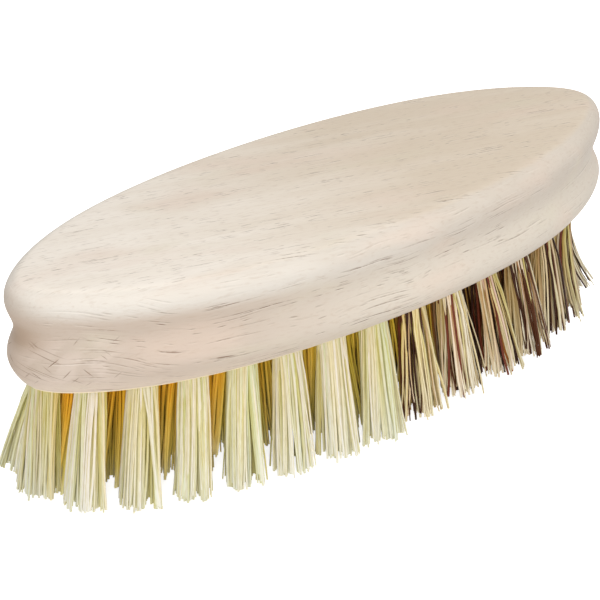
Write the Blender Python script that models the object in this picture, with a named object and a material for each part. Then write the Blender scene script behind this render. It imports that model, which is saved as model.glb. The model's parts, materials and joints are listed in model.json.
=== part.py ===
"""A vegetable brush: an oval beech block with tufts of plant fibre that fan out below it.

Metres, +Z up. The bristle tips stand on z = 0, the block's long side runs along X and the origin
is under its middle. The -X half carries plain soft fibre, the +X half mixed stiffer fibre.
"""

import math
import random

import bmesh
import bpy
import numpy as np
from mathutils import Matrix, Vector

MM = 0.001

# The block's outline, an oval
BLOCK_LENGTH = 135.0 * MM
BLOCK_WIDTH = 50.4 * MM
BLOCK_HEIGHT = 21.0 * MM
END_TAPER = 0.19
END_POWER = 6
OUTLINE_SEGMENTS = 72

# The block's moulded side, from the bottom rim up to the flat top
RIM_INSET = 4.6 * MM
END_RIM_INSET = 3.0 * MM
SWEEP_HEIGHT = 6.1 * MM
GROOVE_DEPTH = 2.0 * MM
GROOVE_PLACE = 0.48
UPPER_BEAD_INSET = 0.3 * MM
TOP_ROUND_REACH = 4.2 * MM
TOP_ROUND_DROP = 4.1 * MM
SWEEP_STEPS = 5
GROOVE_STEPS = 4
ROUND_STEPS = 5

# The drilled holes and the pattern they follow
HOLE_DIAMETER = 5.4 * MM
HOLE_DEPTH = 10.0 * MM
HOLE_SIDES = 10
RIM_WALL = 1.0 * MM
OUTER_TUFTS = 28
MIDDLE_TUFTS = 22
RING_SHIFT = -1.0 * MM
CENTRE_TUFTS = 7
CENTRE_PITCH = 9.4 * MM
END_LEAN = math.radians(10.0)
SIDE_LEAN = math.radians(8.0)

# The tufts: a folded root in each hole and the strands that leave it
BRISTLE_LENGTH = 24.5 * MM
ROOT_CLEARANCE = 0.3 * MM
ROOT_RECESS = 0.8 * MM
FOLD_HEIGHT = 1.8 * MM
FOLD_THICKNESS = 2.4 * MM
TIP_DIAMETER = 8.2 * MM
TIP_GAP = 0.4 * MM
STRANDS_ROUND = 7
STRAND_SIDES = 3
STRAND_ROOT_RADIUS = 0.60 * MM
STRAND_TIP_RADIUS = 0.70 * MM
STRAND_OVERLAP = 0.5 * MM
STRAND_MARGIN = 0.08 * MM
STRAND_SWAY = math.radians(3.5)
STRAND_DRAW_IN = 0.08
RAGGED_TIPS = 1.6 * MM
TRIM_DEPTH = 0.5 * MM

DRILL_ENTRY = 2.0 * MM
FINE_STEPS = 2000

BEECH = (0.80, 0.70, 0.58)
PLAIN_FIBRE = (0.70, 0.62, 0.38)
MIXED_FIBRE = (0.36, 0.26, 0.15)


def clear_scene():
    """Remove every object that the file opens with."""
    for item in list(bpy.data.objects):
        bpy.data.objects.remove(item, do_unlink=True)


def new_collection(name):
    """A collection under the scene's own."""
    collection = bpy.data.collections.new(name)
    bpy.context.scene.collection.children.link(collection)
    return collection


def new_material(name, colour, roughness):
    """A Principled material with one colour."""
    material = bpy.data.materials.new(name)
    material.use_nodes = True
    shader = material.node_tree.nodes["Principled BSDF"]
    shader.inputs["Base Color"].default_value = (*colour, 1.0)
    shader.inputs["Roughness"].default_value = roughness
    shader.inputs["Metallic"].default_value = 0.0
    return material


def oval(half_length, half_width, turn):
    """The point of an ellipse with drawn-in ends at a turn from 0 to 1, from its +X end."""
    along = math.cos(2 * math.pi * turn)
    across = math.sin(2 * math.pi * turn)
    return half_length * along, half_width * across * (1 - END_TAPER * along ** END_POWER)


def spaced_round(half_length, half_width, count, shift):
    """Evenly spaced points round an oval, the first a shift round from its +X end."""
    turns = np.linspace(0.0, 1.0, FINE_STEPS + 1)
    fine = np.array([oval(half_length, half_width, turn) for turn in turns])
    steps = np.hypot(*np.diff(fine, axis=0).T)
    run = np.concatenate([[0.0], np.cumsum(steps)])
    goals = (run[-1] * np.arange(count) / count + shift) % run[-1]
    across = np.interp(goals, run, fine[:, 0])
    along = np.interp(goals, run, fine[:, 1])
    return list(zip(across.tolist(), along.tolist()))


def tuft_places():
    """Where the holes' mouths lie on the underside, ring by ring from the outside in."""
    margin = RIM_WALL + HOLE_DIAMETER / 2
    half_length = BLOCK_LENGTH / 2 - END_RIM_INSET - margin
    half_width = BLOCK_WIDTH / 2 - RIM_INSET - margin
    row_step = half_width / 2
    places = spaced_round(half_length, half_width, OUTER_TUFTS, RING_SHIFT)
    places += spaced_round(half_length - row_step, half_width - row_step, MIDDLE_TUFTS, RING_SHIFT)
    for i in range(CENTRE_TUFTS):
        places.append(((i - (CENTRE_TUFTS - 1) / 2) * CENTRE_PITCH, 0.0))
    leans = []
    for x, y in places:
        leans.append((math.tan(END_LEAN) * x / half_length, math.tan(SIDE_LEAN) * y / half_width))
    return places, leans


def side_profile():
    """Stations (end inset, side inset, height) of the moulded side, from the rim to the flat top."""
    stations = []
    for step in range(SWEEP_STEPS):
        share = step / SWEEP_STEPS
        drawn_in = 1 - math.sin(share * math.pi / 2)
        stations.append((END_RIM_INSET * drawn_in, RIM_INSET * drawn_in, SWEEP_HEIGHT * share))
    round_start = BLOCK_HEIGHT - TOP_ROUND_DROP
    groove_height = SWEEP_HEIGHT + (round_start - SWEEP_HEIGHT) * GROOVE_PLACE
    for step in range(GROOVE_STEPS):
        share = step / GROOVE_STEPS
        height = SWEEP_HEIGHT + (groove_height - SWEEP_HEIGHT) * share
        depth = GROOVE_DEPTH * (1 - math.cos(share * math.pi)) / 2
        stations.append((depth, depth, height))
    for step in range(GROOVE_STEPS):
        share = step / GROOVE_STEPS
        height = groove_height + (round_start - groove_height) * share
        depth = UPPER_BEAD_INSET + (GROOVE_DEPTH - UPPER_BEAD_INSET) * (1 + math.cos(share * math.pi)) / 2
        stations.append((depth, depth, height))
    for step in range(ROUND_STEPS + 1):
        angle = step / ROUND_STEPS * math.pi / 2
        height = round_start + TOP_ROUND_DROP * math.sin(angle)
        depth = UPPER_BEAD_INSET + TOP_ROUND_REACH * (1 - math.cos(angle))
        stations.append((depth, depth, height))
    return stations


def loft(name, stacks):
    """A mesh of closed bodies, each a stack of rings, bottom to top and anticlockwise from above."""
    shape = bmesh.new()
    for rings in stacks:
        loops = [[shape.verts.new(point) for point in ring] for ring in rings]
        for lower, upper in zip(loops, loops[1:]):
            for i in range(len(lower)):
                j = (i + 1) % len(lower)
                shape.faces.new((lower[i], lower[j], upper[j], upper[i]))
        shape.faces.new(list(reversed(loops[0])))
        shape.faces.new(loops[-1])
    mesh = bpy.data.meshes.new(name)
    shape.to_mesh(mesh)
    shape.free()
    return mesh


def add_object(name, mesh, collection, material=None, place=None):
    """An object for a mesh, in a collection, with its material and place."""
    item = bpy.data.objects.new(name, mesh)
    if material:
        mesh.materials.append(material)
    if place:
        item.matrix_world = place
    collection.objects.link(item)
    return item


def hide_as_guide(item):
    """Show an object that only shapes another as wires, and never in a render."""
    item.hide_render = True
    item.display_type = "WIRE"


def axis_frame(lean):
    """The unit vectors across, along and up a tuft whose tips lean outwards."""
    up = Vector((-lean[0], -lean[1], 1.0)).normalized()
    across = Vector((1.0, 0.0, 0.0))
    across = (across - up * across.dot(up)).normalized()
    return across, up.cross(across), up


def make_drills(places, leans, collection):
    """One drill for each hole, along its tuft's axis and all of one mesh."""
    shape = bmesh.new()
    length = HOLE_DEPTH + DRILL_ENTRY
    middle = Matrix.Translation((0.0, 0.0, length / 2 - DRILL_ENTRY))
    bmesh.ops.create_cone(shape, cap_ends=True, segments=HOLE_SIDES, radius1=HOLE_DIAMETER / 2,
                          radius2=HOLE_DIAMETER / 2, depth=length, matrix=middle)
    mesh = bpy.data.meshes.new("drill")
    shape.to_mesh(mesh)
    shape.free()
    for number, (place, lean) in enumerate(zip(places, leans), start=1):
        across, along, up = axis_frame(lean)
        turn = Matrix((across, along, up)).transposed().to_4x4()
        mouth = Matrix.Translation((*place, BRISTLE_LENGTH))
        hide_as_guide(add_object(f"drill_{number:02d}", mesh, collection, place=mouth @ turn))


def make_block(collection, drills, material):
    """The moulded oval block, with its holes drilled."""
    rings = []
    for end_inset, side_inset, height in side_profile():
        ring = []
        for i in range(OUTLINE_SEGMENTS):
            x, y = oval(BLOCK_LENGTH / 2 - end_inset, BLOCK_WIDTH / 2 - side_inset, i / OUTLINE_SEGMENTS)
            ring.append((x, y, height))
        rings.append(ring)
    place = Matrix.Translation((0.0, 0.0, BRISTLE_LENGTH))
    block = add_object("wooden_block", loft("wooden_block", [rings]), collection, material, place)
    cut = block.modifiers.new("tuft holes", "BOOLEAN")
    cut.operation = "DIFFERENCE"
    cut.operand_type = "COLLECTION"
    cut.collection = drills
    cut.solver = "EXACT"
    block.data.shade_smooth()
    block.data.set_sharp_from_angle(angle=math.radians(35.0))


def round_ring(centre, across, along, radius, sides, squash=1.0, spin=0.0):
    """A ring of points about a centre, flattened along its second direction by squash."""
    points = []
    for i in range(sides):
        angle = spin + 2 * math.pi * i / sides
        points.append(centre + across * radius * math.cos(angle) + along * radius * squash * math.sin(angle))
    return points


def root_stack(lean):
    """The folded root of a tuft, from its face near the hole's mouth to its fold at the bottom."""
    across, along, up = axis_frame(lean)
    radius = HOLE_DIAMETER / 2 - ROOT_CLEARANCE
    fold_top = HOLE_DEPTH - ROOT_CLEARANCE
    squash = FOLD_THICKNESS / 2 / radius
    return [
        round_ring(up * ROOT_RECESS, across, along, radius, HOLE_SIDES),
        round_ring(up * (fold_top - FOLD_HEIGHT), across, along, radius, HOLE_SIDES),
        round_ring(up * fold_top, across, along, radius, HOLE_SIDES, squash),
    ]


def strand_stacks(lean, tip_radius, chance):
    """The strands of a tuft: one in the middle and a ring round it, which spreads to the tips."""
    across, along, up = axis_frame(lean)
    flat_across = Vector((1.0, 0.0, 0.0))
    flat_along = Vector((0.0, 1.0, 0.0))
    root_radius = (HOLE_DIAMETER / 2 - ROOT_CLEARANCE) * math.cos(math.pi / HOLE_SIDES)
    root_reach = root_radius - STRAND_ROOT_RADIUS - STRAND_MARGIN
    tip_reach = tip_radius - STRAND_TIP_RADIUS
    first = chance.uniform(0.0, 2 * math.pi)
    directions = [(0.0, first)]
    for i in range(STRANDS_ROUND):
        directions.append((1.0, first + 2 * math.pi * i / STRANDS_ROUND))
    stacks = []
    for share, angle in directions:
        aside = share * (across * math.cos(angle) + along * math.sin(angle))
        root = up * (ROOT_RECESS + STRAND_OVERLAP) + aside * root_reach
        tip_height = max(0.0, chance.uniform(-TRIM_DEPTH, RAGGED_TIPS))
        drop = BRISTLE_LENGTH - tip_height
        tip_angle = angle + chance.uniform(-STRAND_SWAY, STRAND_SWAY)
        tip_share = share * chance.uniform(1 - STRAND_DRAW_IN, 1.0)
        tip = Vector((lean[0] * drop, lean[1] * drop, -drop))
        tip += tip_share * tip_reach * Vector((math.cos(tip_angle), math.sin(tip_angle), 0.0))
        spin = chance.uniform(0.0, 2 * math.pi)
        stacks.append([
            round_ring(tip, flat_across, flat_along, STRAND_TIP_RADIUS, STRAND_SIDES, spin=spin),
            round_ring(root, across, along, STRAND_ROOT_RADIUS, STRAND_SIDES, spin=spin),
        ])
    return stacks


def tip_radii(places, leans):
    """How wide each tuft may spread at its tips before it meets its nearest neighbour."""
    tips = np.array(places) + np.array(leans) * BRISTLE_LENGTH
    radii = []
    for tip in tips:
        gaps = np.sort(np.hypot(*(tips - tip).T))
        radii.append(min(TIP_DIAMETER, float(gaps[1]) - TIP_GAP) / 2)
    return radii


def make_tufts(places, leans, collection, guides, plain, mixed):
    """A tuft in each hole, its strands fused to its folded root."""
    counts = {"plain": 0, "mixed": 0}
    materials = {"plain": plain, "mixed": mixed}
    for number, (place, lean, radius) in enumerate(zip(places, leans, tip_radii(places, leans))):
        fibre = "plain" if place[0] < 0.0 else "mixed"
        counts[fibre] += 1
        name = f"{fibre}_tuft_{counts[fibre]:02d}"
        mouth = Matrix.Translation((*place, BRISTLE_LENGTH))
        strands = loft(f"{name}_strands", strand_stacks(lean, radius, random.Random(number)))
        guide = add_object(f"{name}_strands", strands, guides, place=mouth)
        hide_as_guide(guide)
        tuft = add_object(name, loft(name, [root_stack(lean)]), collection, materials[fibre], mouth)
        fuse = tuft.modifiers.new("strands", "BOOLEAN")
        fuse.operation = "UNION"
        fuse.object = guide
        fuse.solver = "EXACT"


def main():
    clear_scene()
    brush = new_collection("vegetable_brush")
    drills = new_collection("drills")
    guides = new_collection("strand_guides")
    places, leans = tuft_places()
    make_drills(places, leans, drills)
    make_block(brush, drills, new_material("beech", BEECH, 0.6))
    plain = new_material("plain_fibre", PLAIN_FIBRE, 0.7)
    mixed = new_material("mixed_fibre", MIXED_FIBRE, 0.7)
    make_tufts(places, leans, brush, guides, plain, mixed)


main()
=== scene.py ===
"""The looks of a vegetable brush: a beech block, tufts of plain and mixed fibre, and a pale studio.

Metres, +Z up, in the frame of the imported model. The tips stand on z = 0 and the block runs along X,
with the plain fibre towards -X and the mixed fibre towards +X.
"""

import json
import math
import random

import bmesh
import bpy
import numpy as np
from mathutils import Matrix, Vector

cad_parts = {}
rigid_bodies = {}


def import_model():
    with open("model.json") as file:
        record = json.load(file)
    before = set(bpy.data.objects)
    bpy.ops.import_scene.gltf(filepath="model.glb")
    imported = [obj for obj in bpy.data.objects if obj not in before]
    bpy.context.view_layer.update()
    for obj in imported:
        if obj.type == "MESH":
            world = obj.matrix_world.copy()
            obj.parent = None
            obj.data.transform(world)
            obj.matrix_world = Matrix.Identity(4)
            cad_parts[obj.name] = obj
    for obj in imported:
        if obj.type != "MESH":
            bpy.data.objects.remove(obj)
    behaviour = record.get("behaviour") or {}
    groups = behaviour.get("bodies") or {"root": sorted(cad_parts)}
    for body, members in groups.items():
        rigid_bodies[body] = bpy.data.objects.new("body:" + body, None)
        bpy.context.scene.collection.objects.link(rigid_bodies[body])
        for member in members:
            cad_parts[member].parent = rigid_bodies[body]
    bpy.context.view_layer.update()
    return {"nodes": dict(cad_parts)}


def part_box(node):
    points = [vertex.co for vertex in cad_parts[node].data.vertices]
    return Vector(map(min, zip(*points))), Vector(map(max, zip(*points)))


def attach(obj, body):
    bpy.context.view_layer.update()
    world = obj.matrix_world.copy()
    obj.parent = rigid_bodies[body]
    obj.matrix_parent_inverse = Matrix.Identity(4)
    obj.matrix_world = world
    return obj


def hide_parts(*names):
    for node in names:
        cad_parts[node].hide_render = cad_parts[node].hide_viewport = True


MM = 0.001

for item in list(bpy.data.objects):
    bpy.data.objects.remove(item, do_unlink=True)
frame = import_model()


def linear(red, green, blue):
    """A colour written in display values from 0 to 255, as linear values from 0 to 1."""
    shares = [value / 255 for value in (red, green, blue)]
    return [s / 12.92 if s <= 0.04045 else ((s + 0.055) / 1.055) ** 2.4 for s in shares]


# The camera that was fitted to the block's outline, in pixels of the 600 x 600 photograph
PICTURE_SIDE = 600
FOCAL_PIXELS = 2523.6
BLOCK_PIXEL = 320.9, 230.3
CAMERA_DISTANCE = 474.7 * MM
CAMERA_YAW = math.radians(-35.43)
CAMERA_PITCH = math.radians(28.85)
CAMERA_ROLL = math.radians(-1.39)
SENSOR_WIDTH = 36.0

# The light and the floor
WORLD_STRENGTH = 0.45
TOP_LIGHT = {"place": (0.16, -0.26, 1.05), "size": 0.9, "power": 5.0}
FRONT_LIGHT = {"place": (-0.66, -0.93, 0.50), "size": 0.3, "power": 6.4}
FLOOR_COLOUR = (0.9, 0.9, 0.9, 1.0)
FLOOR_ROUGHNESS = 0.9
FLOOR_GLOSS = 0.5
FLOOR_GLOW = 0.8
FLOOR_SIDE = 3.0
FLOOR_DROP = 0.05 * MM
WHITE = (1.0, 1.0, 1.0, 1.0)

# The CAD block's rings of corners, and the finer mesh that follows them
RING_CORNERS = 60
DECIMALS = 6
LEVEL_GAP = 0.001 * MM
OUTLINE_POINTS = 320
PROFILE_STEPS = 5
RIM_CHAMFER = 0.3 * MM
GROOVE_SHARE = 0.8
CREASE = math.radians(40.0)
HOLE_RADIUS = 2.7 * MM
HOLE_DEPTH = 10.0 * MM
HOLE_SIDES = 28
DRILL_ENTRY = 2.0 * MM

# The wood's slow tones, partly painted light, each from -X to +X, and where each takes over from the
# next
# The top is paler towards -X: partly the wood's own tone, partly painted sheen and fall of light
TOP_COLOURS = linear(242, 233, 221), linear(218, 203, 183)
# The shoulder and rounded edge are paler and greyer than the side: a painted highlight
SHOULDER_COLOURS = linear(227, 219, 208), linear(213, 202, 188)
EDGE_COLOURS = linear(219, 212, 202), linear(207, 196, 183)
# The side is darker towards -X: painted shade that evens out the stronger front light there
SIDE_COLOURS = linear(199, 183, 168), linear(217, 207, 193)
LOW_COLOURS = linear(221, 204, 189), linear(212, 202, 189)
TONE_GRAIN = 24.0 * MM, 4.0 * MM
TONE_RUN = -52.0 * MM, 33.0 * MM
TONE_WAVER = 0.3, 0.7, -0.14, 0.14
SIDE_RUN = -48.0 * MM, 6.0 * MM
FLAT_DEPTHS = 0.7 * MM, 0.02 * MM
EDGE_DEPTHS = 0.5 * MM, 4.0 * MM
# How deep under the top the rounded edge's painted highlight reaches, along X
HIGHLIGHT_DEPTHS = -50.0 * MM, 40.0 * MM, 3.5 * MM, 7.0 * MM
UNDER_SHARES = 0.8, 1.8
LOW_HEIGHTS = 5.5 * MM, 0.5 * MM

# Layers of tone along the grain: length, width, place, detail, run of the noise and share, and colour
GRAIN_TURN = math.radians(-15.0)
PINK_WOOD = linear(226, 204, 187)
GREEN_WOOD = linear(220, 214, 190)
STREAK = linear(176, 146, 118)
GRAIN_LAYERS = (
    (30.0 * MM, 9.0 * MM, (3.0, 1.0, 2.0), 2.0, (0.50, 0.75, 0.0, 0.40), PINK_WOOD),
    (22.0 * MM, 9.0 * MM, (1.0, 4.0, 0.3), 2.0, (0.55, 0.80, 0.0, 0.35), GREEN_WOOD),
    (14.0 * MM, 0.5 * MM, (0.0, 0.0, 0.0), 3.0, (0.50, 0.78, 0.0, 0.09), STREAK),
    (2.0 * MM, 0.45 * MM, (0.4, 0.2, 0.1), 2.0, (0.52, 0.75, 0.0, 0.16), STREAK),
)

# The pores and their painted highlight lines, with the length, width, share kept and strength of each
# kind
PORE = linear(108, 76, 50)
GLINT = linear(250, 243, 232)
SIDE_MARKS = (
    (14.0 * MM, 0.30 * MM, 0.34, 0.9),
    (6.0 * MM, 0.32 * MM, 0.42, 0.9),
    (2.4 * MM, 0.28 * MM, 0.34, 0.7),
)
TOP_MARKS = (
    (8.0 * MM, 0.24 * MM, 0.20, 0.6),
    (3.0 * MM, 0.25 * MM, 0.34, 0.65),
    (1.4 * MM, 0.24 * MM, 0.36, 0.5),
)
SIDE_ROWS = 26.0 * MM, 1.6 * MM, 1.0
TOP_ROWS = 24.0 * MM, 2.2 * MM, 1.0
ROW_RUN = 0.42, 0.6, 0.08, 1.0
MARK_SPACING = 2.0
MARK_EDGE = 0.5, 0.2
MARK_STRENGTHS = 0.4, 1.0
MARK_SHIFT = 50.0 * MM, 30.0 * MM
MARK_BREAKS = 1.3 * MM, 0.5 * MM, 1.0
BREAK_RUN = 0.35, 0.6, 0.35, 1.0

# The painted highlight line beside a pore, and its strength on the side and everywhere
GLINT_SHIFT = 0.2 * MM
SIDE_GLINTS = 0.5
GLINT_SHARE = 0.5

# How the side's rows of pores wave and rise towards the -X end, and where the top's pores take over
SIDE_WAVE = 1.3 * MM, 17.0 * MM, 7.0 * MM
END_RISE = -40.0 * MM, -60.0 * MM, 0.0, -4.0 * MM
TOP_FACING = 0.75, 0.95

# Where the side's pores fade: up towards the rounded edge and out towards each end
FADE_DEPTHS = 1.0 * MM, 6.0 * MM
FADE_SHARES = 0.25, 1.0
FADE_RUNS = (-50.0 * MM, -62.0 * MM, 1.0, 0.4), (5.0 * MM, 50.0 * MM, 1.0, 0.3)

# The -X end: fine cracks with their turn in degrees, length and share kept, and paler facets
END_CRACKS = (48.0, 3.0 * MM, 0.11), (-40.0, 2.8 * MM, 0.12), (-20.0, 10.0 * MM, 0.22)
CRACK_WIDTH = 0.22 * MM
CRACK_STRENGTH = 0.85
CRACK_SHIFT = 10.0 * MM, 705.5 * MM
CRACKED_RUN = -49.0 * MM, -58.0 * MM
CRACKED_TOP = 37.5 * MM, 35.5 * MM
CRACKED_FOOT = 2.0 * MM, 5.0 * MM
FACET = linear(232, 216, 204)
FACET_SIZES = 5.0 * MM, 3.0 * MM, 1.0
FACET_TURN = math.radians(40.0)
FACET_WARP = 0.5
FACET_RUN = 0.35, 0.65, 0.0, 0.25

# The darker -X end: partly its end grain, partly painted shade, and deepest in the groove as painted
# shade
END_GRAIN_SHADE = linear(176, 154, 134)
END_FACING = -0.6, -1.0
END_SHADE_SHARES = 0.45, 1.0
GROOVE_HEIGHT = 35.8 * MM
GROOVE_REACH = 4.5 * MM, 0.5 * MM
# The pale corner of the rim: a painted highlight
RIM_HIGHLIGHT = linear(254, 238, 206)
RIM_HIGHLIGHT_HEIGHTS = 0.5 * MM, 0.25 * MM
RIM_HIGHLIGHT_SHARE = 0.85

# The wood's surface
WOOD_ROUGHNESS = 0.62
WOOD_GLOSS = 0.18
GRAIN_RELIEF = 0.35
RELIEF_DEPTH = 0.12 * MM
RELIEF_STRENGTH = 0.6

# The tufts, whose axes are those of the CAD tufts' folded roots
FOLD_BAND = 1.3 * MM
OUTER_RING = 0.85
FIBRES = {"plain": 150, "mixed": 130}
CLUMPS = 17
OUTER_SPREAD = {"plain": 1.6, "mixed": 1.85}
INNER_SPREAD = {"plain": 2.35, "mixed": 2.2}
OUTER_BULGE = {"plain": 1.08, "mixed": 0.95}
INNER_BULGE = 1.85
MIXED_SPLAY = 0.05, -0.09
MIXED_LIFT = 1.8 * MM

# How far the tips of single tufts stand aside, in millimetres
TIP_OFFSETS = {
    "plain_tuft_06": (-4.2, 2.2, 1.2),
    "plain_tuft_07": (1.0, -0.5, 1.8),
    "plain_tuft_08": (0.6, 0.0, 0.9),
    "plain_tuft_23": (0.3, 0.0, 2.2),
    "plain_tuft_24": (0.8, 0.0, 1.4),
    "mixed_tuft_01": (-5.0, 1.5, -0.8),
    "mixed_tuft_02": (-4.6, 0.0, 0.0),
    "mixed_tuft_12": (-1.2, 0.0, 0.0),
    "mixed_tuft_13": (-3.0, 0.8, 0.3),
    "mixed_tuft_14": (-5.6, 0.8, -0.5),
}

# How far single tufts bow on the way down, in millimetres, and the share of it at start and handles
BOWS = {
    "plain_tuft_06": (-1.3, 0.8, 0.0),
    "mixed_tuft_01": (-3.2, 0.7, 0.0),
    "mixed_tuft_14": (-1.2, 0.2, 0.0),
}
BOW_SHARES = 0.4, 1.0, 0.6

# The clumps that hang loose at the near edge of the end tuft, and how far, in millimetres
LOOSE_CLUMPS = {"mixed_tuft_01": (3.2, 1.0, 0.3)}
LOOSE_COUNT = 3

# A fibre: its thickness, its run out of the hole, and how it wanders, strays and ends
FIBRE_RADIUS = {"plain": 0.225 * MM, "mixed": 0.20 * MM}
THICKNESSES = {"plain": (0.65, 1.35), "mixed": (0.6, 1.5)}
TAPER = 0.12
FIBRE_SIDES = 5
FIBRE_RINGS = 8
ROOT_DEPTH = 3.0 * MM
FIRST_RUN = 1.0 * MM
HANDLES = 0.33, 0.67
WANDER = {"plain": 0.35 * MM, "mixed": 0.7 * MM}
CLUMPING = 0.45
CLUMP_REACH = 0.5 * MM
FIBRE_REACH = 0.25 * MM
STRAY_SHARE = {"plain": 0.12, "mixed": 0.25}
STRAY_REACH = {"plain": 1.2 * MM, "mixed": 0.95 * MM}
STRAY_LIMIT = 1.7
SHORTNESS = 0.45
RAGGED = {"plain": 1.8 * MM, "mixed": 2.4 * MM}
TIP_CLEARANCE = 0.15 * MM

# How far a fibre's shading leans out of its tuft, and an outer tuft's out of the brush
TUFT_LEANING = 0.7
BRUSH_LEANING = 0.8

# The fibres' own tones, and the share of dark clumps from the palest mixed tuft to the darkest
PLAIN_TONES = [
    linear(240, 231, 208),
    linear(234, 228, 192),
    linear(243, 231, 216),
    linear(226, 219, 172),
    linear(227, 227, 192),
    linear(238, 225, 190),
]
MIXED_TONES = [
    linear(252, 243, 216),
    linear(250, 240, 204),
    linear(240, 224, 170),
    linear(250, 232, 210),
    linear(236, 230, 194),
    linear(222, 210, 138),
    linear(228, 214, 164),
    linear(226, 196, 150),
    linear(250, 240, 210),
    linear(253, 246, 226),
]
DARK_BROWN = linear(72, 40, 22)
DARK_TONES = [DARK_BROWN, linear(60, 34, 20), linear(94, 56, 33)]
OUTER_DARK_SHARES = 0.12, 0.26
INNER_DARK_SHARES = 0.06, 0.35

# Odd strands in a clump: their share, how many of them take an odd tone, and those tones
ODD_SHARE = {"plain": 0.3, "mixed": 0.5}
ODD_TONE_SHARE = 0.3
ODD_TONES = {
    "plain": [linear(208, 200, 144), linear(220, 210, 160), linear(246, 236, 224)],
    "mixed": [DARK_BROWN, linear(120, 62, 46), linear(232, 200, 186), linear(176, 124, 72)],
}
BRIGHTNESS = {"plain": (0.90, 0.99), "mixed": (0.94, 1.03)}

# Tints of single tufts
TUFT_TINTS = {
    "plain_tuft_06": (1.16, 1.17, 1.06),
    "plain_tuft_07": (0.96, 0.93, 0.85),
    "mixed_tuft_09": (1.08, 1.08, 1.14),
    "mixed_tuft_11": (0.93, 0.91, 0.88),
    "mixed_tuft_13": (0.86, 0.80, 0.66),
}

# Painted shade: tints of a tuft's core, and of the flank of a fibre that faces into its tuft
UNTINTED = (1.0, 1.0, 1.0)
CORE = 0.82
CORE_SHADE_TINT = {"plain": (0.84, 0.81, 0.44), "mixed": (0.76, 0.63, 0.37)}
FLANK_SHADE_SHARE = 0.75
FLANK_SHADE_TINT = {"plain": (0.87, 0.83, 0.52), "mixed": (0.66, 0.53, 0.32)}

# Painted shade at a fibre's root, middle and tip: amber inside the -X end, olive past it, then brown
STRAW_SHADE = (1.24, 1.08, 0.28)
AMBER_SHADE_TINTS = (1.24, 0.51, 0.014), (1.14, 0.74, 0.05), STRAW_SHADE
OLIVE_SHADE_TINTS = (1.22, 0.92, 0.10), (1.26, 1.02, 0.17), STRAW_SHADE
OUTER_SHADE_TINTS = (1.02, 0.84, 0.28), (1.02, 0.90, 0.36), (1.0, 0.95, 0.60)
BROWN_SHADE_TINTS = (0.34, 0.16, 0.06), (0.60, 0.43, 0.25), UNTINTED
OLIVE_RUN = -38.0 * MM, 0.0 * MM
OUTER_BROWN_RUN = 4.0 * MM, 22.0 * MM
INNER_BROWN_RUN = 9.0 * MM, 26.0 * MM

# How much of that painted shade shows, and how far past an outer tuft's axis it reaches, in inner radii
INNER_DEPTH = 1.0
OUTER_DEPTH = 0.9
DEEP_REACH = 0.45

# The shade close to the wood, and the pale tip and cut end of all but the dark strands
ROOT_SHADE = (0.78, 0.80, 0.74)
SHADED_LENGTH = 0.25
TIP_TINT = {"plain": (0.87, 0.90, 0.90), "mixed": (0.90, 0.87, 0.74)}
TIP_PALENESS = {"plain": 0.6, "mixed": 0.7}
TIP_POWER = 2
TIP_DEPTH = 0.7
CUT_PALENESS = 0.42
CUT_POWER = 8
DARKEST_PALE = 0.3

# The fibres' surface, with fine flecks along them
FLECK = (0.82, 0.74, 0.50)
FLECK_SIZES = 0.5 * MM, 0.5 * MM, 3.0 * MM
FLECK_RUN = 0.4, 0.75, 0.0, 0.4
FIBRE_ROUGHNESS = 0.5
FIBRE_GLOSS = 0.15


def blend(a, b, share):
    """A colour, or a list of numbers, that share of the way from a to b."""
    return [p + (q - p) * share for p, q in zip(a, b)]


def run_share(value, start, end):
    """How far a value lies from start to end, from 0 to 1."""
    return min(max((value - start) / (end - start), 0.0), 1.0)


def camera_axes():
    """The camera's right, up and forward directions."""
    turn = Matrix.Rotation(CAMERA_YAW, 3, "Z")
    forward = turn @ Vector((0.0, math.cos(CAMERA_PITCH), -math.sin(CAMERA_PITCH)))
    level = turn @ Vector((1.0, 0.0, 0.0))
    raised = level.cross(forward)
    right = level * math.cos(CAMERA_ROLL) + raised * math.sin(CAMERA_ROLL)
    up = raised * math.cos(CAMERA_ROLL) - level * math.sin(CAMERA_ROLL)
    return right, up, forward


def make_camera():
    """A camera at the photograph's place and angle."""
    right, up, forward = camera_axes()
    low, high = (Vector(corner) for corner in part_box("wooden_block"))
    middle = (low + high) / 2
    aside = (BLOCK_PIXEL[0] - PICTURE_SIDE / 2) / FOCAL_PIXELS
    above = (BLOCK_PIXEL[1] - PICTURE_SIDE / 2) / FOCAL_PIXELS
    eye = middle - CAMERA_DISTANCE * (forward + aside * right - above * up)
    data = bpy.data.cameras.new("camera")
    data.sensor_width = SENSOR_WIDTH
    data.lens = FOCAL_PIXELS / PICTURE_SIDE * SENSOR_WIDTH
    camera = bpy.data.objects.new("camera", data)
    camera.matrix_world = Matrix.Translation(eye) @ Matrix((right, up, -forward)).transposed().to_4x4()
    bpy.context.scene.collection.objects.link(camera)
    bpy.context.scene.camera = camera


def node_points(name):
    """The distinct corner points of a CAD node, as an array."""
    mesh = frame["nodes"][name].data
    points = np.array([vertex.co[:] for vertex in mesh.vertices])
    return np.unique(np.round(points, DECIMALS), axis=0)


def smooth_curve(points, steps, closed):
    """Points along a smooth curve through the given ones."""
    points = np.asarray(points, dtype=float)
    if closed:
        padded = np.vstack([points[-1], points, points[0], points[1]])
    else:
        padded = np.vstack([2 * points[0] - points[1], points, 2 * points[-1] - points[-2]])
    curve = []
    for a, b, c, d in zip(padded, padded[1:], padded[2:], padded[3:]):
        for step in range(steps):
            t = step / steps
            curve.append(0.5 * (2 * b + (c - a) * t + (2 * a - 5 * b + 4 * c - d) * t ** 2
                                + (3 * b - a - 3 * c + d) * t ** 3))
    if not closed:
        curve.append(points[-1])
    return np.array(curve)


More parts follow.
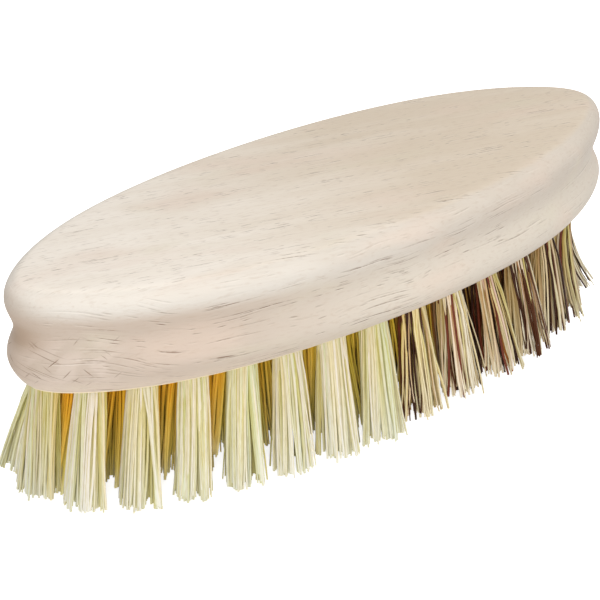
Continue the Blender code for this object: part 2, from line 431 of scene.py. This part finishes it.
def block_levels(points):
    """The CAD block's rings as rows of height, half length and half width, from the rim to the top."""
    heights, counts = np.unique(np.round(points[:, 2], DECIMALS), return_counts=True)
    levels = []
    for height in heights[counts >= RING_CORNERS]:
        ring = points[np.abs(points[:, 2] - height) < LEVEL_GAP]
        levels.append((height, ring[:, 0].max(), ring[:, 1].max()))
    return np.array(levels)


def ease_groove(levels):
    """The levels with the finger groove a little shallower between the two full widths beside it."""
    widest = np.flatnonzero((levels[1:-1, 2] > levels[:-2, 2]) & (levels[1:-1, 2] > levels[2:, 2])) + 1
    low, high = widest[0], widest[-1]
    eased = levels.copy()
    for i in range(low + 1, high):
        share = (levels[i, 0] - levels[low, 0]) / (levels[high, 0] - levels[low, 0])
        full = levels[low] * (1 - share) + levels[high] * share
        eased[i, 1:] = full[1:] + (levels[i, 1:] - full[1:]) * GROOVE_SHARE
    return eased


def block_outline(points, levels):
    """One turn of the block's outline from the middle of its far side, as shares of its half sizes."""
    height, half_length, half_width = levels[len(levels) // 2]
    ring = points[np.abs(points[:, 2] - height) < LEVEL_GAP]
    shares = ring[:, :2] / (half_length, half_width)
    order = np.argsort(np.arctan2(shares[:, 1], shares[:, 0]))
    steps = max(1, OUTLINE_POINTS // len(order))
    outline = smooth_curve(shares[order], steps, closed=True)
    return np.roll(outline, -int(np.argmax(outline[:, 1])), axis=0)


def run_along(points, closed):
    """How far along a line of points each one lies."""
    ahead = np.vstack([points[1:], points[:1]]) if closed else points[1:]
    steps = np.linalg.norm(ahead - points[:len(ahead)], axis=1)
    return np.concatenate([[0.0], np.cumsum(steps)])


def loft_block(outline, curve, around, upward):
    """A mesh through the outline at each level of the curve.

    Each face corner keeps its place round the outline and up the profile, which the side's pores follow.
    """
    shape = bmesh.new()
    wrap = shape.loops.layers.float_vector.new("wrap")
    loops = []
    for height, half_length, half_width in curve:
        loops.append([shape.verts.new((x * half_length, y * half_width, height)) for x, y in outline])
    for k, (lower, upper) in enumerate(zip(loops, loops[1:])):
        for i in range(len(lower)):
            j = (i + 1) % len(lower)
            face = shape.faces.new((lower[i], lower[j], upper[j], upper[i]))
            for corner, (right, above) in zip(face.loops, ((0, 0), (1, 0), (1, 1), (0, 1))):
                corner[wrap] = (around[i + right], upward[k + above], 0.0)
    shape.faces.new(list(reversed(loops[0])))
    shape.faces.new(loops[-1])
    mesh = bpy.data.meshes.new("beech_block")
    shape.to_mesh(mesh)
    shape.free()
    return mesh


def make_block(material, axes):
    """The block as a fine mesh of the CAD profile, with a broken rim and its holes drilled."""
    points = node_points("wooden_block")
    levels = block_levels(points)
    outline = block_outline(points, levels)
    levels = ease_groove(levels)
    rim = levels[0]
    chamfer = np.array([[rim[0], rim[1] - RIM_CHAMFER, rim[2] - RIM_CHAMFER]])
    side = levels.copy()
    side[0, 0] += RIM_CHAMFER
    curve = np.vstack([chamfer, smooth_curve(side, PROFILE_STEPS, closed=False)])
    around = run_along(outline * levels[len(levels) // 2, 1:], closed=True)
    upward = run_along(curve[:, [0, 2]], closed=False)
    block = add_piece("beech_block", loft_block(outline, curve, around, upward), material)
    drill_holes(block, axes)
    block.data.shade_smooth()
    block.data.set_sharp_from_angle(angle=CREASE)
    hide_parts("wooden_block")


def drill_holes(block, axes):
    """A blind hole along each tuft's axis, cut into the block."""
    drills = bmesh.new()
    for mouth, outward in axes.values():
        inward = -outward
        across = inward.orthogonal().normalized()
        turn = Matrix((across, inward.cross(across), inward)).transposed().to_4x4()
        middle = mouth + inward * ((HOLE_DEPTH - DRILL_ENTRY) / 2)
        bmesh.ops.create_cone(drills, cap_ends=True, segments=HOLE_SIDES, radius1=HOLE_RADIUS,
                              radius2=HOLE_RADIUS, depth=HOLE_DEPTH + DRILL_ENTRY,
                              matrix=Matrix.Translation(middle) @ turn)
    mesh = bpy.data.meshes.new("drills")
    drills.to_mesh(mesh)
    drills.free()
    cutter = bpy.data.objects.new("drills", mesh)
    bpy.context.scene.collection.objects.link(cutter)
    cut = block.modifiers.new("holes", "BOOLEAN")
    cut.operation = "DIFFERENCE"
    cut.object = cutter
    cut.solver = "EXACT"
    bpy.context.view_layer.update()
    evaluated = block.evaluated_get(bpy.context.evaluated_depsgraph_get())
    cut_mesh = bpy.data.meshes.new_from_object(evaluated)
    block.modifiers.clear()
    block.data = cut_mesh
    bpy.data.objects.remove(cutter, do_unlink=True)


def add_piece(name, mesh, material):
    """A piece of the brush that rides on its one body."""
    mesh.materials.clear()
    mesh.materials.append(material)
    piece = bpy.data.objects.new(name, mesh)
    bpy.context.scene.collection.objects.link(piece)
    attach(piece, "root")
    return piece


def tuft_axis(node, rim_height):
    """Where a CAD tuft leaves the wood, and the direction in which it points out of its hole."""
    points = node_points(node)
    heights = points[:, 2]
    bottom_of_fold = heights.max() - FOLD_BAND
    fold = points[heights > bottom_of_fold].mean(axis=0)
    in_hole = (heights <= bottom_of_fold) & (heights > rim_height + HOLE_DEPTH / 2)
    outward = Vector(points[in_hole].mean(axis=0) - fold).normalized()
    mouth = Vector(fold) + outward * ((fold[2] - rim_height) / -outward.z)
    return mouth, outward


def sunflower(count, turn):
    """Places spread evenly over a disc of radius 1."""
    places = []
    for i in range(count):
        share = math.sqrt((i + 0.5) / count)
        angle = turn + i * math.pi * (3 - math.sqrt(5))
        places.append((share * math.cos(angle), share * math.sin(angle)))
    return places


class Tuft:
    """A bundle of fibres that fills its hole, spreads towards the tips and ends raggedly."""

    def __init__(self, node, axis, number, outer):
        self.node = node
        self.kind = node.split("_")[0]
        self.outer = outer
        self.chance = random.Random(number)
        self.mouth, self.outward = axis
        self.across = self.outward.orthogonal().normalized()
        self.along = self.outward.cross(self.across)
        self.away = Vector((self.outward.x, self.outward.y, 0.0)).normalized()
        self.reach = HOLE_RADIUS - FIBRE_RADIUS[self.kind]
        self.spread = (OUTER_SPREAD if outer else INNER_SPREAD)[self.kind]
        self.bulge = OUTER_BULGE[self.kind] if outer else INNER_BULGE
        self.splay = self.tip_offset()
        self.bow = Vector(BOWS.get(node, (0.0, 0.0, 0.0))) * MM
        self.dark = self.darkness(OUTER_BROWN_RUN if outer else INNER_BROWN_RUN)
        self.tints = self.painted_shade_tints()
        self.spots = sunflower(FIBRES[self.kind], self.chance.uniform(0.0, 2 * math.pi))
        centres = sunflower(CLUMPS, self.chance.uniform(0.0, 2 * math.pi))
        self.clumps = []
        for spot in self.spots:
            self.clumps.append(min(range(CLUMPS), key=lambda i: math.dist(spot, centres[i])))
        self.centres = [self.place(x, y) for x, y in centres]
        self.strays = [self.stray(STRAY_SHARE[self.kind], CLUMP_REACH) for _ in centres]
        self.loose = []
        if node in LOOSE_CLUMPS:
            self.loose = sorted(range(CLUMPS), key=lambda i: self.centres[i].y)[:LOOSE_COUNT]
        for clump in self.loose:
            self.strays[clump] = Vector(LOOSE_CLUMPS[node]) * MM
        self.vertices = []
        self.faces = []
        self.normals = []
        self.tones = []

    def darkness(self, run):
        """How dark the tuft may be: a mixed one by its place in a run along X, and a plain one never."""
        return run_share(self.mouth.x, *run) if self.kind == "mixed" else 0.0

    def tip_offset(self):
        """How far the tips stand off the line of the hole, beyond the lean of the hole itself."""
        aside = Vector((0.0, 0.0, 0.0))
        if self.kind == "mixed":
            lift = MIXED_LIFT * self.darkness(OUTER_BROWN_RUN)
            aside += Vector((MIXED_SPLAY[0] * self.mouth.x, MIXED_SPLAY[1] * self.mouth.y, lift))
        if self.node in TIP_OFFSETS:
            aside += Vector(TIP_OFFSETS[self.node]) * MM
        return aside

    def painted_shade_tints(self):
        """The painted shade at root, middle and tip of a fibre that stands deep in the brush."""
        olive = run_share(self.mouth.x, *OLIVE_RUN)
        pale_tints = OUTER_SHADE_TINTS
        if not self.outer:
            pale_tints = [blend(amber, green, olive) for amber, green in zip(AMBER_SHADE_TINTS, OLIVE_SHADE_TINTS)]
        return [blend(pale, brown, self.dark) for pale, brown in zip(pale_tints, BROWN_SHADE_TINTS)]

    def place(self, x, y):
        """A step from the tuft's axis, from shares of its inner radius."""
        return (self.across * x + self.along * y) * self.reach

    def scatter(self, size):
        """A chance step across the tuft's axis, limited in both directions."""
        steps = [min(max(self.chance.gauss(0.0, 1.0), -STRAY_LIMIT), STRAY_LIMIT) for _ in range(2)]
        return (self.across * steps[0] + self.along * steps[1]) * size

    def stray(self, share, usual_reach):
        """A chance step that is a long one for a share of the fibres or clumps."""
        return self.scatter(STRAY_REACH[self.kind] if self.chance.random() < share else usual_reach)

    def colours(self):
        """One colour per fibre, alike in a clump, with odd strands between them and painted shade in the
        core.
        """
        dark_share = 0.0
        if self.kind == "mixed":
            low, high = OUTER_DARK_SHARES if self.outer else INNER_DARK_SHARES
            dark_share = low + (high - low) * self.dark
        pale = MIXED_TONES if self.kind == "mixed" else PLAIN_TONES
        shared = []
        for _ in range(CLUMPS):
            shared.append(self.chance.choice(DARK_TONES if self.chance.random() < dark_share else pale))
        core_shade = blend(CORE_SHADE_TINT["plain"], CORE_SHADE_TINT["mixed"], self.dark)
        colours = []
        for (x, y), clump in zip(self.spots, self.clumps):
            colour = shared[clump]
            if self.chance.random() < ODD_SHARE[self.kind]:
                is_odd = self.chance.random() < ODD_TONE_SHARE
                colour = self.chance.choice(ODD_TONES[self.kind] if is_odd else pale)
            light = self.chance.uniform(*BRIGHTNESS[self.kind])
            tint = core_shade if math.hypot(x, y) < CORE else UNTINTED
            colours.append([c * light * t for c, t in zip(colour, tint)])
        return colours

    def tip(self, aside, clump):
        """Where a fibre ends: close to the floor, drawn towards its clump and straying a little."""
        drop = self.mouth.z - abs(self.chance.gauss(0.0, SHORTNESS)) * RAGGED[self.kind]
        tip = (self.mouth + self.outward * (drop / -self.outward.z)
               + aside.lerp(self.centres[clump], CLUMPING) * self.spread + self.splay)
        tip += self.strays[clump] + self.stray(STRAY_SHARE[self.kind] / 2, FIBRE_REACH)
        tip.z = max(tip.z, TIP_CLEARANCE)
        return tip

    def path(self, aside, tip):
        """A fibre's line from its root in the hole, swelling as it leaves the wood, to its tip."""
        base = self.mouth + aside
        start_bow, first_bow, second_bow = (self.bow * share for share in BOW_SHARES)
        start = base + self.outward * FIRST_RUN + aside * (self.bulge - 1) + start_bow
        first = start.lerp(tip, HANDLES[0]) + self.scatter(WANDER[self.kind]) + first_bow
        second = start.lerp(tip, HANDLES[1]) + self.scatter(WANDER[self.kind]) + second_bow
        points = [base - self.outward * ROOT_DEPTH, base]
        for step in range(FIBRE_RINGS - 2):
            t = step / (FIBRE_RINGS - 3)
            points.append(start * (1 - t) ** 3 + first * 3 * t * (1 - t) ** 2
                          + second * 3 * t ** 2 * (1 - t) + tip * t ** 3)
        return points

    def shades(self, colour, aside):
        """The colours of a fibre's rings: painted shade at the root inside the brush, and pale at the
        tip.
        """
        depth = INNER_DEPTH
        if self.outer:
            inward = max(-aside.dot(self.away) / self.reach + DEEP_REACH, 0.0) / (1.0 + DEEP_REACH)
            depth = OUTER_DEPTH * inward
        root, middle, end = self.tints
        tip_paleness = TIP_PALENESS[self.kind] * (1.0 - TIP_DEPTH * depth)
        shades = []
        for ring in range(FIBRE_RINGS):
            t = max(ring - 1, 0) / (FIBRE_RINGS - 2)
            tint = blend(root, middle, 2 * t) if t < 0.5 else blend(middle, end, 2 * t - 1)
            near_wood = blend(ROOT_SHADE, UNTINTED, min(t / SHADED_LENGTH, 1.0))
            shade = [c * a * b for c, a, b in zip(colour, near_wood, blend(UNTINTED, tint, depth))]
            paleness = max(tip_paleness * t ** TIP_POWER, CUT_PALENESS * t ** CUT_POWER)
            if max(colour) <= DARKEST_PALE:
                paleness = 0.0
            shades.append(blend(shade, TIP_TINT[self.kind], paleness))
        return shades

    def add_fibre(self, path, radius, lean, shades):
        """A tapered tube along a path, palest facing out of the tuft, with painted shade on its inner
        flank.
        """
        first = len(self.vertices)
        last_ring = len(path) - 1
        spin = self.chance.uniform(0.0, math.pi)
        lift = self.away * (BRUSH_LEANING if self.outer else 0.0)
        for ring, (centre, shade) in enumerate(zip(path, shades)):
            ahead = (path[min(ring + 1, last_ring)] - path[max(ring - 1, 0)]).normalized()
            side = Vector((1.0, 0.0, 0.0)).cross(ahead).normalized()
            other = ahead.cross(side)
            thick = radius * (1.0 - TAPER * ring / last_ring)
            for i in range(FIBRE_SIDES):
                angle = spin + 2 * math.pi * i / FIBRE_SIDES
                facing = side * math.cos(angle) + other * math.sin(angle)
                self.vertices.append(centre + facing * thick)
                self.normals.append((facing + lean * TUFT_LEANING + lift).normalized())
                turned = FLANK_SHADE_SHARE * (1.0 - facing.dot(lean.normalized()))
                flank = blend(UNTINTED, FLANK_SHADE_TINT[self.kind], min(turned, 1.0))
                self.tones.append((*[c * f for c, f in zip(shade, flank)], 1.0))
        for ring in range(last_ring):
            for i in range(FIBRE_SIDES):
                j = (i + 1) % FIBRE_SIDES
                low = first + ring * FIBRE_SIDES
                self.faces.append((low + i, low + j, low + FIBRE_SIDES + j, low + FIBRE_SIDES + i))
        self.faces.append([first + i for i in reversed(range(FIBRE_SIDES))])
        last = first + last_ring * FIBRE_SIDES
        self.faces.append([last + i for i in range(FIBRE_SIDES)])

    def make(self, material):
        """The tuft's piece, in place of its CAD node."""
        tuft_tint = TUFT_TINTS.get(self.node, UNTINTED)
        for (x, y), clump, colour in zip(self.spots, self.clumps, self.colours()):
            aside = self.place(x, y)
            path = self.path(aside, self.tip(aside, clump))
            if clump in self.loose:
                colour = MIXED_TONES[0]
            colour = [c * t for c, t in zip(colour, tuft_tint)]
            radius = FIBRE_RADIUS[self.kind] * self.chance.uniform(*THICKNESSES[self.kind])
            self.add_fibre(path, radius, aside / self.reach, self.shades(colour, aside))
        name = f"{self.node}_fibres"
        mesh = bpy.data.meshes.new(name)
        mesh.from_pydata(self.vertices, [], self.faces)
        layer = mesh.color_attributes.new("tone", "FLOAT_COLOR", "POINT")
        layer.data.foreach_set("color", np.array(self.tones, dtype=np.float32).ravel())
        mesh.shade_smooth()
        mesh.normals_split_custom_set_from_vertices(self.normals)
        piece = add_piece(name, mesh, material)
        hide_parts(self.node)


class Shading:
    """A material's nodes, made one at a time."""

    def __init__(self, name):
        self.material = bpy.data.materials.new(name)
        self.material.use_nodes = True
        self.nodes = self.material.node_tree.nodes
        self.links = self.material.node_tree.links
        self.shader = self.nodes["Principled BSDF"]
        self.place = self.nodes.new("ShaderNodeTexCoord").outputs["Object"]

    def link(self, source, target):
        """Join an output to an input, or set the input where the source is a plain value."""
        if isinstance(source, bpy.types.NodeSocket):
            self.links.new(source, target)
        else:
            target.default_value = source

    def surface(self, colour, roughness, gloss):
        """Set the shader's colour, roughness and specular level."""
        self.link(colour, self.shader.inputs["Base Color"])
        self.shader.inputs["Roughness"].default_value = roughness
        self.shader.inputs["Specular IOR Level"].default_value = gloss

    def attribute(self, name):
        """The node that reads a value kept in the mesh."""
        node = self.nodes.new("ShaderNodeAttribute")
        node.attribute_name = name
        return node

    def spread(self, vector, sizes, turn=0.0, shift=(0.0, 0.0, 0.0)):
        """A vector in features of the given sizes, turned about Z."""
        node = self.nodes.new("ShaderNodeMapping")
        node.vector_type = "TEXTURE"
        node.inputs["Location"].default_value = shift
        node.inputs["Rotation"].default_value = (0.0, 0.0, turn)
        node.inputs["Scale"].default_value = sizes
        self.links.new(vector, node.inputs["Vector"])
        return node.outputs["Vector"]

    def along_grain(self, length, width, shift=(0.0, 0.0, 0.0)):
        """The place in the wood, in features of a length along the grain and a width across it."""
        return self.spread(self.place, (length, width, width), GRAIN_TURN, shift)

    def noise(self, vector, detail=2.0, distortion=0.0, output="Fac"):
        """Soft noise with one feature to each unit."""
        node = self.nodes.new("ShaderNodeTexNoise")
        node.inputs["Scale"].default_value = 1.0
        node.inputs["Detail"].default_value = detail
        node.inputs["Distortion"].default_value = distortion
        self.links.new(vector, node.inputs["Vector"])
        return node.outputs[output]

    def waved(self, vector, wave, length, width):
        """A vector whose Y wanders by up to two waves."""
        wander = self.noise(self.spread(vector, (length, width, width)), detail=1.0, output="Color")
        shifted = self.nodes.new("ShaderNodeVectorMath")
        shifted.operation = "MULTIPLY_ADD"
        self.links.new(wander, shifted.inputs[0])
        shifted.inputs[1].default_value = (0.0, 2.0 * wave, 0.0)
        self.links.new(vector, shifted.inputs[2])
        return shifted.outputs["Vector"]

    def dashes(self, vector, length, width, share, turn, shift):
        """Scattered thin marks along X, of which a share is kept, each 0 to 1."""
        node = self.nodes.new("ShaderNodeTexVoronoi")
        node.voronoi_dimensions = "2D"
        node.inputs["Scale"].default_value = 1.0
        sizes = (length * MARK_SPACING, width * MARK_SPACING, 1.0)
        self.links.new(self.spread(vector, sizes, turn, shift), node.inputs["Vector"])
        near = self.span(node.outputs["Distance"], *(edge / MARK_SPACING for edge in MARK_EDGE))
        fate = self.split(node.outputs["Color"])
        kept = self.math("LESS_THAN", fate[0], share)
        strength = self.math("MULTIPLY", kept, self.span(fate[1], 0.0, 1.0, *MARK_STRENGTHS))
        return self.math("MULTIPLY", near, strength)

    def pores(self, vector, marks, rows, turn=0.0):
        """Pores of several lengths in uneven broken rows, and the painted highlight line beside each."""
        thick = self.span(self.noise(self.spread(vector, rows, turn)), *ROW_RUN)
        layers = []
        for beside in (0.0, GLINT_SHIFT):
            layer = 0.0
            for number, (length, width, share, strength) in enumerate(marks):
                shift = (MARK_SHIFT[0] * number, MARK_SHIFT[1] * number - beside, 0.0)
                mark = self.dashes(vector, length, width, share, turn, shift)
                layer = self.math("MAXIMUM", self.math("MULTIPLY", mark, strength), layer)
            layers.append(self.math("MULTIPLY", layer, thick))
        dark_lines, highlight_lines = layers
        breaks = self.span(self.noise(self.spread(vector, MARK_BREAKS, turn)), *BREAK_RUN)
        return self.math("MULTIPLY", dark_lines, breaks), highlight_lines

    def span(self, value, low, high, start=0.0, end=1.0, smooth=True):
        """A value's run from low to high, as a run from start to end."""
        node = self.nodes.new("ShaderNodeMapRange")
        node.interpolation_type = "SMOOTHSTEP" if smooth else "LINEAR"
        self.link(value, node.inputs["Value"])
        for name, number in (("From Min", low), ("From Max", high), ("To Min", start), ("To Max", end)):
            self.link(number, node.inputs[name])
        return node.outputs["Result"]

    def math(self, operation, a, b=0.0):
        """A sum, product or the like of two values."""
        node = self.nodes.new("ShaderNodeMath")
        node.operation = operation
        self.link(a, node.inputs[0])
        self.link(b, node.inputs[1])
        return node.outputs["Value"]

    def mix(self, share, a, b, method="MIX"):
        """Colour a with a share of colour b."""
        node = self.nodes.new("ShaderNodeMix")
        node.data_type = "RGBA"
        node.blend_type = method
        self.link(share, node.inputs["Factor"])
        for value, socket in ((a, node.inputs[6]), (b, node.inputs[7])):
            self.link(value if isinstance(value, bpy.types.NodeSocket) else (*value[:3], 1.0), socket)
        return node.outputs[2]

    def split(self, vector):
        """The X, Y and Z of a vector."""
        node = self.nodes.new("ShaderNodeSeparateXYZ")
        self.links.new(vector, node.inputs["Vector"])
        return node.outputs

    def bump(self, height, distance, strength):
        """A surface normal roughened by a height."""
        node = self.nodes.new("ShaderNodeBump")
        node.inputs["Strength"].default_value = strength
        node.inputs["Distance"].default_value = distance
        self.links.new(height, node.inputs["Height"])
        return node.outputs["Normal"]


def wood_tone(s, x, z, rim, top):
    """The wood's slow tones: its flat top, rounded edge, side and foot, with painted sheen, highlight
    and shade.
    """
    grain = s.noise(s.along_grain(*TONE_GRAIN))
    along = s.math("ADD", s.span(x, *TONE_RUN), s.span(grain, *TONE_WAVER))
    flat = s.span(z, *(top - depth for depth in FLAT_DEPTHS))
    under = s.math("DIVIDE", s.math("SUBTRACT", top, z), s.span(x, *HIGHLIGHT_DEPTHS))
    rounded = s.span(z, *(top - depth for depth in EDGE_DEPTHS))
    edge = s.mix(rounded, s.mix(along, *SHOULDER_COLOURS), s.mix(along, *EDGE_COLOURS))
    colour = s.mix(flat, edge, s.mix(along, *TOP_COLOURS))
    side = s.mix(s.span(x, *SIDE_RUN), *SIDE_COLOURS)
    colour = s.mix(s.span(under, *UNDER_SHARES), colour, side)
    foot = s.span(z, *(rim + height for height in LOW_HEIGHTS))
    return s.mix(foot, colour, s.mix(along, *LOW_COLOURS))


def grain_tone(s, colour):
    """The colour with its layers along the grain, and the relief of the finest two."""
    layers = []
    for length, width, place, detail, run, tone in GRAIN_LAYERS:
        layer = s.noise(s.along_grain(length, width, place), detail)
        colour = s.mix(s.span(layer, *run), colour, tone)
        layers.append(layer)
    return colour, s.math("ADD", *layers[-2:])


def side_place(s, x):
    """The place round the outline and up the profile, waved a little and rising towards the -X end."""
    rise = s.nodes.new("ShaderNodeCombineXYZ")
    s.link(s.span(x, *END_RISE), rise.inputs["Y"])
    place = s.nodes.new("ShaderNodeVectorMath")
    s.link(s.waved(s.attribute("wrap").outputs["Vector"], *SIDE_WAVE), place.inputs[0])
    s.link(rise.outputs["Vector"], place.inputs[1])
    return place.outputs["Vector"]


def side_pores(s, place, x, z, top):
    """The side's pores and painted highlight lines, the pores fading towards the top and the ends."""
    pores, glints = s.pores(place, SIDE_MARKS, SIDE_ROWS)
    below = s.span(z, *(top - depth for depth in FADE_DEPTHS), *FADE_SHARES)
    pores = s.math("MULTIPLY", pores, below)
    for run in FADE_RUNS:
        pores = s.math("MULTIPLY", pores, s.span(x, *run))
    return pores, s.math("MULTIPLY", glints, SIDE_GLINTS)


def end_cracks(s, place, x, z, rim):
    """The fine cracks in the lower part of the -X end, and the facets between them."""
    near_end = s.math("MULTIPLY", s.span(x, *CRACKED_RUN), s.span(z, *CRACKED_TOP))
    near_end = s.math("MULTIPLY", near_end, s.span(z, *(rim + height for height in CRACKED_FOOT)))
    cracks = 0.0
    for turn, length, share in END_CRACKS:
        shift = (CRACK_SHIFT[0] * turn, CRACK_SHIFT[1], 0.0)
        crack = s.dashes(place, length, CRACK_WIDTH, share, math.radians(turn), shift)
        cracks = s.math("MAXIMUM", cracks, crack)
    cracks = s.math("MULTIPLY", cracks, s.math("MULTIPLY", near_end, CRACK_STRENGTH))
    facets = s.noise(s.spread(place, FACET_SIZES, FACET_TURN), detail=0.0, distortion=FACET_WARP)
    return cracks, s.math("MULTIPLY", near_end, s.span(facets, *FACET_RUN))


def wood_marks(s, colour, x, z, upward, rim, top):
    """The colour with facets, painted highlight lines, pores and cracks, and the dark marks by
    themselves.
    """
    place = side_place(s, x)
    side_marks, side_glints = side_pores(s, place, x, z, top)
    top_marks, top_glints = s.pores(s.place, TOP_MARKS, TOP_ROWS, GRAIN_TURN)
    cracks, facets = end_cracks(s, place, x, z, rim)
    topside = s.span(upward, *TOP_FACING)
    side_marks = s.math("MAXIMUM", side_marks, cracks)
    marks = s.span(topside, 0.0, 1.0, side_marks, top_marks, smooth=False)
    glints = s.span(topside, 0.0, 1.0, side_glints, top_glints, smooth=False)
    colour = s.mix(facets, colour, FACET)
    colour = s.mix(s.math("MULTIPLY", glints, GLINT_SHARE), colour, GLINT)
    return s.mix(marks, colour, PORE), marks


def end_grain_and_shade(s, colour, z, endward, rim):
    """The colour with painted shade on the darker -X end grain, most in the groove, and a painted rim
    highlight.
    """
    off_groove = s.math("ABSOLUTE", s.math("SUBTRACT", z, GROOVE_HEIGHT))
    groove_shade = s.span(off_groove, *GROOVE_REACH)
    share = s.math("MULTIPLY", s.span(endward, *END_FACING), s.span(groove_shade, 0.0, 1.0, *END_SHADE_SHARES))
    colour = s.mix(share, colour, END_GRAIN_SHADE)
    return s.mix(s.span(z, *(rim + height for height in RIM_HIGHLIGHT_HEIGHTS), 0.0, RIM_HIGHLIGHT_SHARE), colour, RIM_HIGHLIGHT)


def beech_material():
    """Sanded, unsealed beech: rows of fine pores along the grain, faint ripples, uneven tone and painted
    light.
    """
    s = Shading("beech")
    x, _, z = s.split(s.place)
    rim, top = (corner[2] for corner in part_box("wooden_block"))
    facing = s.split(s.nodes.new("ShaderNodeNewGeometry").outputs["Normal"])
    colour, ripples = grain_tone(s, wood_tone(s, x, z, rim, top))
    colour, marks = wood_marks(s, colour, x, z, facing[2], rim, top)
    colour = end_grain_and_shade(s, colour, z, facing[0], rim)
    s.surface(colour, WOOD_ROUGHNESS, WOOD_GLOSS)
    relief = s.math("SUBTRACT", s.math("MULTIPLY", ripples, GRAIN_RELIEF), marks)
    s.link(s.bump(relief, RELIEF_DEPTH, RELIEF_STRENGTH), s.shader.inputs["Normal"])
    return s.material


def fibre_material(kind):
    """Matt plant fibre, each strand in its own tone with painted shade, and fine lengthwise unevenness.
    """
    s = Shading(f"{kind}_fibre")
    flecks = s.span(s.noise(s.spread(s.place, FLECK_SIZES)), *FLECK_RUN)
    tone = s.attribute("tone").outputs["Color"]
    s.surface(s.mix(flecks, tone, FLECK, "MULTIPLY"), FIBRE_ROUGHNESS, FIBRE_GLOSS)
    return s.material


def seen_share(tree):
    """1 for what is seen straight, mirrored or through glass, and 0 for what only gives light."""
    path = tree.nodes.new("ShaderNodeLightPath")
    seen = path.outputs["Is Camera Ray"]
    for way in ("Is Glossy Ray", "Is Transmission Ray"):
        either = tree.nodes.new("ShaderNodeMath")
        either.operation = "MAXIMUM"
        tree.links.new(seen, either.inputs[0])
        tree.links.new(path.outputs[way], either.inputs[1])
        seen = either.outputs["Value"]
    return seen


def floor_material():
    """A pale matt floor that reads as white and keeps the brush's shadow."""
    s = Shading("pale_floor")
    s.surface(FLOOR_COLOUR, FLOOR_ROUGHNESS, FLOOR_GLOSS)
    s.shader.inputs["Emission Color"].default_value = WHITE
    glow = s.math("MULTIPLY", seen_share(s.material.node_tree), FLOOR_GLOW)
    s.link(glow, s.shader.inputs["Emission Strength"])
    return s.material


def make_floor():
    """A wide floor under the tips."""
    shape = bmesh.new()
    bmesh.ops.create_grid(shape, x_segments=1, y_segments=1, size=FLOOR_SIDE)
    mesh = bpy.data.meshes.new("floor")
    shape.to_mesh(mesh)
    shape.free()
    mesh.materials.append(floor_material())
    floor = bpy.data.objects.new("floor", mesh)
    floor.location.z = -FLOOR_DROP
    bpy.context.scene.collection.objects.link(floor)


def make_lamp(name, place, size, power):
    """A square soft light that looks at the brush."""
    data = bpy.data.lights.new(name, "AREA")
    data.shape = "SQUARE"
    data.size = size
    data.energy = power
    lamp = bpy.data.objects.new(name, data)
    lamp.location = place
    lamp.rotation_euler = Vector(place).to_track_quat("Z", "Y").to_euler()
    bpy.context.scene.collection.objects.link(lamp)


def make_light():
    """Even white surroundings and two soft lights."""
    world = bpy.data.worlds.new("studio")
    world.use_nodes = True
    bpy.context.scene.world = world
    tree = world.node_tree
    back = tree.nodes["Background"]
    strength = tree.nodes.new("ShaderNodeMapRange")
    tree.links.new(seen_share(tree), strength.inputs["Value"])
    strength.inputs["To Min"].default_value = WORLD_STRENGTH
    strength.inputs["To Max"].default_value = 1.0
    tree.links.new(strength.outputs["Result"], back.inputs["Strength"])
    back.inputs["Color"].default_value = WHITE
    make_lamp("top_light", **TOP_LIGHT)
    make_lamp("front_light", **FRONT_LIGHT)


def make_tufts(axes):
    """A piece for each CAD tuft, which is an outer one where it lies near the rim of the pattern."""
    materials = {kind: fibre_material(kind) for kind in ("plain", "mixed")}
    length = max(mouth.x for mouth, _ in axes.values())
    width = max(mouth.y for mouth, _ in axes.values())
    for number, (node, (mouth, outward)) in enumerate(axes.items()):
        outer = (mouth.x / length) ** 2 + (mouth.y / width) ** 2 > OUTER_RING
        tuft = Tuft(node, (mouth, outward), number, outer)
        tuft.make(materials[tuft.kind])


def main():
    """The whole scene."""
    make_camera()
    make_floor()
    make_light()
    rim_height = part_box("wooden_block")[0][2]
    nodes = sorted(name for name in frame["nodes"] if name != "wooden_block")
    axes = {name: tuft_axis(name, rim_height) for name in nodes}
    make_block(beech_material(), axes)
    make_tufts(axes)
    bpy.context.scene.view_settings.view_transform = "Standard"


main()
